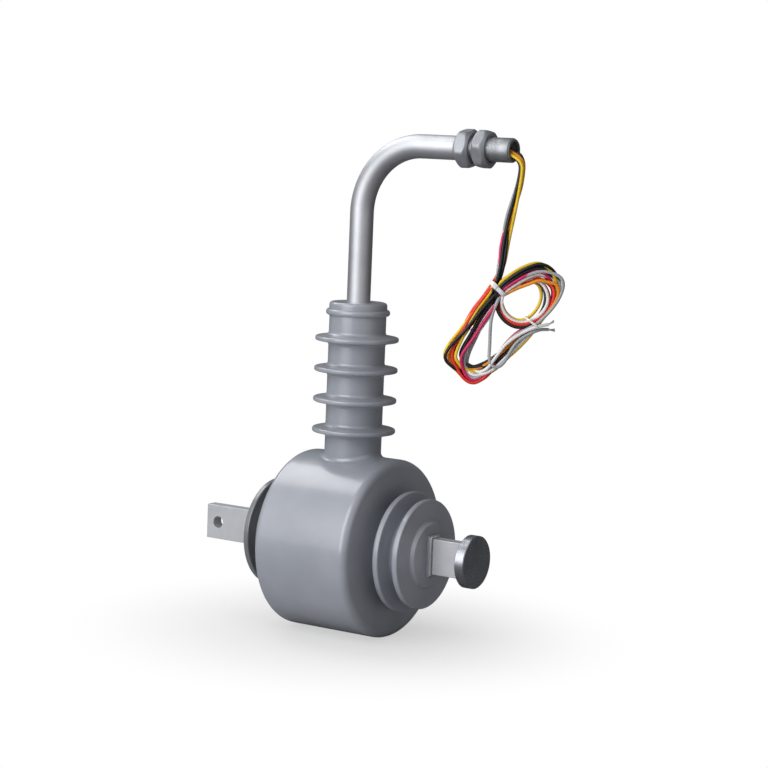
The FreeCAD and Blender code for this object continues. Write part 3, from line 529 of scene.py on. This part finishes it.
# Where each lead lies in the loop at seven places round a turn, from 0 at its outside to 1 at its
# inside, and beside it how deep: top and bottom of the near limb, bottom bend, lower and upper part of
# the far limb, top bend, and the tie
LAY_KEYS = (0, 4, 7, 11, 16, 19, 22)
BACK_TURN = {
    "yellow": ((0.13, 0.00, 0.30, 0.05, 0.52, 0.20, 0.10), (2.0, 2.0, 2.0, 2.0, 4.0, 6.0, 2.0)),
    "amber": ((0.25, 0.13, 0.52, 0.14, 0.30, 0.22, 0.25), (5.8, 4.0, 5.0, 5.8, 3.0, 7.8, 5.8)),
    "black_a": ((0.40, 0.34, 0.62, 0.40, 0.60, 0.20, 0.45), (-1.4, 0.0, 4.0, 5.0, 5.0, 2.0, -1.4)),
    "red": ((0.01, 0.24, 0.02, 0.55, 0.72, 0.65, 0.02), (5.0, 1.0, 0.0, 5.0, 0.0, 5.0, 5.0)),
    "grey": ((0.85, 0.98, 0.36, 0.24, 0.40, 0.50, 0.80), (8.0, 2.0, -4.0, 2.0, 7.4, 8.6, 8.6)),
    "black_b": ((0.55, 0.66, 0.90, 0.68, 0.82, 0.32, 0.60), (8.9, 8.0, 7.0, 8.9, 8.9, 6.0, 8.9)),
    "white": ((0.98, 0.72, 0.72, 0.70, 0.26, 0.70, 0.95), (1.0, 3.0, 0.0, 0.0, 0.0, 1.0, 1.0)),
    "rose": ((0.70, 0.80, 0.16, 0.94, 0.95, 0.84, 0.70), (4.4, 4.4, 4.4, 4.4, 4.4, 4.4, 4.4)),
}
NEAR_TURN = {
    "yellow": ((0.16, 0.45, 0.64, 0.03, 0.66, 0.06, 0.06), (-6.0, -6.8, -5.0, -5.0, -3.0, -3.0, -7.0)),
    "amber": ((0.30, 0.17, 0.80, 0.70, 0.42, 0.94, 0.97), (-4.2, -3.0, -4.0, -4.4, -7.4, -7.6, -5.0)),
    "black_a": ((0.42, 0.01, 0.46, 0.22, 0.34, 0.10, 0.30), (-7.6, -9.1, -2.0, -3.0, 6.0, -8.2, -8.2)),
    "red": ((0.02, 0.31, 0.00, 0.86, 0.84, 0.84, 0.86), (-6.4, -5.6, -7.6, -2.6, -6.0, -1.0, 3.0)),
    "grey": ((0.84, 0.80, 0.26, 0.98, 0.00, 0.46, 0.66), (-3.0, -4.8, -7.4, -6.4, -8.0, -8.8, -4.0)),
    "black_b": ((0.55, 0.66, 0.90, 0.36, 0.56, 0.30, 0.46), (-3.8, -2.6, -3.4, -4.6, 4.0, -6.0, -7.6)),
    "white": ((0.80, 0.80, 0.46, 0.20, 0.50, 0.60, 0.78), (-2.0, 1.0, -7.6, -6.4, 0.0, -4.6, -6.4)),
    "rose": ((0.88, 0.68, 0.16, 0.92, 0.92, 0.46, 0.60), (-8.6, -8.8, -7.6, -1.0, 2.0, -7.0, -8.6)),
}
# The near turn wavers at other places than the back one
NEAR_TURN_PHASE = 3.0
# The leads that go on round the short ring, at five places round it from the tie: how far outside its
# middle, and how deep
RING_KEYS = (0, 3, 6, 9, 11)
RING_TURN = {
    "black_b": ((3.4, 3.4, -1.0, 4.0, 5.0), (-1.6, -5.0, -3.0, 5.0, 4.0)),
    "red": ((0.2, 0.2, 3.8, 5.0, 4.0), (2.0, -4.6, -4.6, 3.0, 2.0)),
    "white": ((-2.6, -2.6, 1.8, 5.0, 4.6), (-2.0, -2.0, -7.0, 0.0, 1.0)),
    "yellow": ((-3.6, -4.2, -6.2, 3.0, 4.0), (2.0, 2.0, 1.0, 7.0, 6.0)),
}
# The last stretch of each lead: two end in a tail beside the hank, the others are tucked in behind it
LAST_STRETCH = {
    "white": ((-9.0, 283.5, 4.0), (-19.5, 266.5, 8.0), (-30.5, 249.5, 9.1), (-38.0, 238.0, 9.1),
              (-39.5, 227.5, 6.0), (-34.5, 217.5, 0.0), (-25.0, 212.5, -6.0), (-14.5, 217.0, -9.1),
              (-7.0, 229.0, -9.1), (2.0, 243.0, -9.1), (14.0, 253.4, -9.1), (27.0, 261.2, -9.0),
              (37.0, 265.2, -8.0), (44.0, 266.6, -6.0), (49.8, 267.95, -4.0)),
    "grey": ((-9.4, 284.0, -6.4), (-12.4, 273.2, -7.0), (-13.2, 262.0, -7.0), (-13.0, 250.0, -7.4),
             (-13.0, 239.0, -8.2), (-13.4, 229.6, -9.0), (-10.6, 221.0, -9.2), (-2.2, 219.2, -9.2),
             (5.0, 227.4, -9.2), (10.0, 239.4, -9.2), (18.0, 250.2, -9.0), (29.0, 257.4, -8.4),
             (38.0, 261.0, -5.0), (44.0, 262.2, -2.0), (50.0, 261.8, 0.6)),
    "yellow": ((-12.0, 288.0, 8.8), (-22.0, 276.0, 9.0), (-31.0, 262.0, 9.0)),
    "amber": ((-14.0, 290.0, 2.0), (-25.0, 279.0, 8.4), (-36.0, 264.0, 8.9)),
    "black_a": ((-10.0, 284.0, 0.0), (-18.0, 270.0, 7.2), (-24.0, 258.0, 8.8)),
    "red": ((-7.0, 286.0, 6.2), (-17.0, 275.0, 8.2), (-29.0, 262.0, 8.8)),
    "black_b": ((-8.0, 287.0, 7.0), (-16.0, 276.0, 8.4), (-26.0, 262.0, 8.6)),
    "rose": ((-8.0, 285.0, 1.0), (-20.0, 272.0, 6.8), (-33.0, 256.0, 8.4)),
}


def between_keys(keys, values, station):
    """One of a turn's values at its key stations, or what lies smoothly between two of them."""
    for low, high, before, after in zip(keys, keys[1:], values, values[1:]):
        if station <= high:
            share = (station - low) / (high - low)
            share = share * share * (3.0 - 2.0 * share)
            return before + (after - before) * share


def long_turn(places, depths, phase):
    """One turn of a lead round the long loop, pulled together in depth where the tie holds it."""
    turn = []
    for station, (outer, inner) in enumerate(LONG_LOOP):
        share = between_keys(LAY_KEYS, places, station)
        share += WAVER_ACROSS * math.sin(WAVER_STEP_ACROSS * station + phase)
        inset = LEAD_RADIUS / math.dist(outer, inner)
        share = inset + min(max(share, 0.0), 1.0) * (1.0 - 2.0 * inset)
        waver = WAVER_THROUGH * math.sin(WAVER_STEP_THROUGH * station + 2.0 * phase)
        depth = (between_keys(LAY_KEYS, depths, station) + waver) * HELD_BY_TIE.get(station, 1.0)
        turn.append((outer[0] + (inner[0] - outer[0]) * share, outer[1] + (inner[1] - outer[1]) * share,
                     max(min(depth, HANK_HALF_DEPTH), -HANK_HALF_DEPTH)))
    return turn


def ring_turn(places, depths):
    """One turn of a lead round the short ring."""
    turn = []
    for station, (sideways, height) in enumerate(SHORT_RING):
        outside = between_keys(RING_KEYS, places, station)
        away = Vector((sideways - RING_MIDDLE[0], height - RING_MIDDLE[1])).normalized() * outside
        turn.append((sideways + away.x, height + away.y, between_keys(RING_KEYS, depths, station)))
    return turn


def smooth_lines(name, routes, radius, material, roundness, steps):
    """Round smooth lines along their routes, as one piece: a lead, or the strands of a stripped end."""
    data = bpy.data.curves.new(name, "CURVE")
    data.dimensions = "3D"
    data.bevel_depth = radius * MM
    data.bevel_resolution = roundness
    data.use_fill_caps = True
    for route in routes:
        line = data.splines.new("NURBS")
        line.points.add(len(route) - 1)
        for spot, point in zip(line.points, route):
            spot.co = (*point, 1.0)
        line.order_u = 3
        line.use_endpoint_u = True
        line.resolution_u = steps
    data.materials.append(material)
    piece = bpy.data.objects.new(name, data)
    bpy.context.scene.collection.objects.link(piece)
    return piece


# The lead covering is extruded plastic with an even colour and a soft sheen.
LEAD_COLOURS = {
    "yellow": (0.90, 0.60, 0.018), "amber": (0.86, 0.30, 0.014), "black_a": (0.006, 0.007, 0.010),
    "black_b": (0.007, 0.008, 0.012), "red": (0.80, 0.040, 0.018), "rose": (0.66, 0.022, 0.130),
    "white": (0.90, 0.89, 0.90), "grey": (0.42, 0.43, 0.45),
}
# The darker of a cover's two tones, as a share of the lighter
DARK_TONE = 0.78
leads, lead_lengths = {}, {}
for number, (colour, drop) in enumerate(DROPS.items()):
    tint = LEAD_COLOURS[colour]
    cover = finish_material("lead_cover_" + colour, [channel * DARK_TONE for channel in tint], tint,
                            (0.34, 0.46),
                            {"Coat Weight": 0.12, "Coat Roughness": 0.25, "Specular IOR Level": 0.3},
                            grain=240.0, bump=0.008)
    dress_node("inner_lead_" + colour, cover)
    hank = long_turn(*BACK_TURN[colour], phase=number)
    hank += long_turn(*NEAR_TURN[colour], phase=number + NEAR_TURN_PHASE)
    if colour in RING_TURN:
        hank += ring_turn(*RING_TURN[colour])
    hank += LAST_STRETCH[colour]
    route = [MOUTH + Vector(point) * MM for point in drop] + [in_hank(*point) for point in hank]
    leads[colour] = smooth_lines("free_lead_" + colour, [route], LEAD_RADIUS, cover, roundness=3, steps=6)
    lead_lengths[colour] = round(sum(math.dist(*pair) for pair in zip(route, route[1:])), 2)

# The tails' stripped ends are seven tinned strands, spread a little where they were cut.
STRAND_RADIUS, STRAND_FAN = 0.32, 1.6
STRAND_BENDS = ((0.0, 0.0), (0.5, 0.1), (0.2, 0.5), (-0.3, 0.45), (-0.5, -0.1), (-0.2, -0.5), (0.35, -0.4))
BARE_ENDS = {
    "white": ((49.2, 267.56, -4.2), (55.2, 271.5, -2.6), 1.0),
    "grey": ((49.4, 261.7, 0.4), (57.0, 261.2, 3.0), 1.35),
}


def strand_route(root, tip, spread, aside, height):
    """One strand's way from the cover's end to its own, further from the others as it goes."""
    route = []
    for share in (0.0, 1 / 3, 2 / 3, 1.0):
        fan = 1.0 + STRAND_FAN * spread * share * share
        route.append(in_hank(root[0] + (tip[0] - root[0]) * share,
                             root[1] + (tip[1] - root[1]) * share + height * fan,
                             root[2] + (tip[2] - root[2]) * share + aside * fan))
    return route


strand_tin = finish_material("tinned_strands", (0.42, 0.40, 0.36), (0.66, 0.65, 0.62), (0.28, 0.42),
                             {"Metallic": 1.0})
for colour, (root, tip, spread) in BARE_ENDS.items():
    routes = [strand_route(root, tip, spread, aside, height) for aside, height in STRAND_BENDS]
    piece = smooth_lines("stripped_end_" + colour, routes, STRAND_RADIUS, strand_tin, roundness=2, steps=12)
    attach(piece, "root")
    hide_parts("bare_end_" + colour)

for colour, lead in leads.items():
    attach(lead, "root")
    solids = ["lead_" + colour]
    if colour == "yellow":
        solids.append("lead_hank")
    if colour in BARE_ENDS:
        solids.append("tail_" + colour)
    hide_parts(*solids)

# The two cable ties. Each is a natural nylon strap drawn tight round the hank, with its lock head on the
# near side and the spare tail cut off short.

# Each tie's middle in the hank, its slope in degrees, half its span across and through the hank, and its
# strap's width and wall
TIES = {
    "wide_tie": ((-7.0, 304.0), -43.0, 11.2, 10.9, 4.8, 1.0),
    "thin_tie": ((31.9, 269.0), -34.9, 9.6, 11.0, 2.4, 0.9),
}
SPOTS_ROUND_STRAP = 64
# A round strap has a squareness of 2, and a higher one is squarer
STRAP_SQUARENESS = 3.2
STRAP_EDGE = 0.92
# The lock head's side and height as shares of the strap's width, its place as a share of the strap's half
# span, and how far it sinks into the strap
HEAD_SIDE, HEAD_HEIGHT, HEAD_PLACE, HEAD_SINK = 1.17, 0.624, 0.45, 0.4


def beside_tie(middle, slope, run, rise, depth):
    """A point near a tie, by its run along the strap and its rise across it."""
    tilt = math.radians(slope)
    return in_hank(middle[0] + run * math.cos(tilt) - rise * math.sin(tilt),
                   middle[1] + run * math.sin(tilt) + rise * math.cos(tilt), depth)


def strap_mesh(middle, slope, reach, depth, width, wall):
    """A strap round the hank, squarer than an ellipse, with its outer edges a little eased."""
    mesh = bmesh.new()
    rows = []
    for spot in range(SPOTS_ROUND_STRAP):
        turn = 2.0 * math.pi * spot / SPOTS_ROUND_STRAP
        along = math.copysign(abs(math.cos(turn)) ** (2.0 / STRAP_SQUARENESS), math.cos(turn))
        through = math.copysign(abs(math.sin(turn)) ** (2.0 / STRAP_SQUARENESS), math.sin(turn))
        rows.append([mesh.verts.new(beside_tie(middle, slope, along * (reach - wall + offset),
                                               side * width / 2, through * (depth - wall + offset)))
                     for offset, side in ((0.0, -1.0), (wall, -STRAP_EDGE), (wall, STRAP_EDGE), (0.0, 1.0))])
    skin_rings(mesh, rows)
    return mesh


tie_nylon = finish_material("natural_nylon", (0.84, 0.84, 0.86), (0.94, 0.93, 0.95), (0.30, 0.42),
                            {"Subsurface Weight": 0.25, "Subsurface Radius": (0.002, 0.002, 0.002)},
                            bump=0.02)
for node, (middle, slope, reach, depth, width, wall) in TIES.items():
    mesh = strap_mesh(middle, slope, reach, depth, width, wall)
    for vert in bmesh.ops.create_cube(mesh, size=1.0)["verts"]:
        run, rise, through = vert.co * width
        vert.co = beside_tie(middle, slope, run * HEAD_SIDE - reach * HEAD_PLACE, rise * HEAD_SIDE,
                             through * HEAD_HEIGHT - depth + HEAD_SINK)
    strap = shaded_piece("strap_" + node, mesh, tie_nylon)
    softened = strap.modifiers.new("softened_edges", "BEVEL")
    softened.width = 0.2 * MM
    softened.segments = 2
    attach(strap, "root")
    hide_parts(node)

# The floor. A pale matt sheet, half a millimetre under the body. It keeps the body's shadow near its
# middle and turns to plain white paper further out for the camera alone. Reflections see it darker.
FLOOR_HALF, FLOOR_GAP = 6.0, 0.0005
SHADOW_NEAR, SHADOW_FAR, PAPER_AT_SHADOW = 0.04, 0.34, 0.55
DUSK_SHARE = 0.8
mesh = bmesh.new()
bmesh.ops.create_grid(mesh, x_segments=2, y_segments=2, size=FLOOR_HALF)
floor_paint = finish_material("floor_paint", (0.56, 0.56, 0.56), (0.59, 0.59, 0.59), (0.8, 0.95), patch=2.0)
floor = shaded_piece("floor", mesh, floor_paint)
floor.location = (0.18, 0.0, cad_box[0][2] - FLOOR_GAP)
white_paper, seen, blend, place, away, fading, amount = new_nodes(
    floor_paint.node_tree, "Emission", "LightPath", "MixShader", "NewGeometry", "VectorMath", "MapRange",
    "Math")
dusk, shaded, dusk_share = new_nodes(floor_paint.node_tree, "BsdfDiffuse", "MixShader", "Math")
away.operation = "DISTANCE"
away.inputs[1].default_value = (casting_middle * MM, 0.0, cad_box[0][2])
fading.inputs["From Min"].default_value = SHADOW_NEAR
fading.inputs["From Max"].default_value = SHADOW_FAR
fading.inputs["To Min"].default_value = PAPER_AT_SHADOW
fading.interpolation_type = "SMOOTHSTEP"
amount.operation = "MULTIPLY"
dusk.inputs["Color"].default_value = (0.10, 0.10, 0.11, 1.0)
dusk_share.operation = "MULTIPLY"
dusk_share.inputs[1].default_value = DUSK_SHARE
floor_nodes, floor_links = floor_paint.node_tree.nodes, floor_paint.node_tree.links
floor_links.new(place.outputs["Position"], away.inputs[0])
floor_links.new(away.outputs["Value"], fading.inputs["Value"])
floor_links.new(fading.outputs["Result"], amount.inputs[0])
floor_links.new(seen.outputs["Is Camera Ray"], amount.inputs[1])
floor_links.new(amount.outputs["Value"], blend.inputs["Fac"])
floor_links.new(floor_nodes["Principled BSDF"].outputs["BSDF"], blend.inputs[1])
floor_links.new(white_paper.outputs["Emission"], blend.inputs[2])
floor_links.new(seen.outputs["Is Glossy Ray"], dusk_share.inputs[0])
floor_links.new(dusk_share.outputs["Value"], shaded.inputs["Fac"])
floor_links.new(blend.outputs["Shader"], shaded.inputs[1])
floor_links.new(dusk.outputs["BSDF"], shaded.inputs[2])
floor_links.new(shaded.outputs["Shader"], floor_nodes["Material Output"].inputs["Surface"])

# The light. A soft light stands at the upper left and a large one in front. The surround is white for the
# camera, even and dim for matt surfaces, and for reflections a room that is bright in front and dark behind.
LIT_SIDE = (0.36, -0.86, 0.32)
ROOM_DARK_TO, ROOM_BRIGHT_FROM, ROOM_DARK_LEVEL, EVEN_LEVEL = 0.02, 0.62, 0.12, 0.265
world = bpy.data.worlds.new("surround")
bpy.context.scene.world = world
world.use_nodes = True
backdrop = world.node_tree.nodes["Background"]
backdrop.inputs["Color"].default_value = (1.0, 1.0, 1.0, 1.0)
rays, heading, lit_side, room, glossy, level, strength = new_nodes(
    world.node_tree, "LightPath", "TexCoord", "VectorMath", "MapRange", "Math", "Mix", "Math")
lit_side.operation = "DOT_PRODUCT"
lit_side.inputs[1].default_value = LIT_SIDE
room.inputs["From Min"].default_value = ROOM_DARK_TO
room.inputs["From Max"].default_value = ROOM_BRIGHT_FROM
room.inputs["To Min"].default_value = ROOM_DARK_LEVEL
room.interpolation_type = "SMOOTHSTEP"
glossy.operation = "MAXIMUM"
level.inputs["A"].default_value = EVEN_LEVEL
strength.operation = "MAXIMUM"
world_links = world.node_tree.links
world_links.new(heading.outputs["Generated"], lit_side.inputs[0])
world_links.new(lit_side.outputs["Value"], room.inputs["Value"])
world_links.new(rays.outputs["Is Glossy Ray"], glossy.inputs[0])
world_links.new(rays.outputs["Is Transmission Ray"], glossy.inputs[1])
world_links.new(glossy.outputs["Value"], level.inputs["Factor"])
world_links.new(room.outputs["Result"], level.inputs["B"])
world_links.new(rays.outputs["Is Camera Ray"], strength.inputs[0])
world_links.new(level.outputs["Result"], strength.inputs[1])
world_links.new(strength.outputs["Value"], backdrop.inputs["Strength"])


def soft_light(name, place, aim, width, height, power):
    """A rectangular lamp at one place, turned towards another."""
    lamp = bpy.data.lights.new(name, "AREA")
    lamp.shape = "RECTANGLE"
    lamp.size, lamp.size_y, lamp.energy = width, height, power
    holder = bpy.data.objects.new(name, lamp)
    holder.location = place
    holder.rotation_euler = (Vector(aim) - Vector(place)).to_track_quat("-Z", "Y").to_euler()
    bpy.context.scene.collection.objects.link(holder)


soft_light("upper_left_light", place=(-0.74, 0.10, 1.30), aim=(0.18, 0.0, 0.05), width=0.9, height=0.9,
           power=9.5)
soft_light("front_light", place=(-0.12, -1.75, 0.95), aim=(0.18, 0.0, 0.14), width=1.5, height=2.0,
           power=34.5)
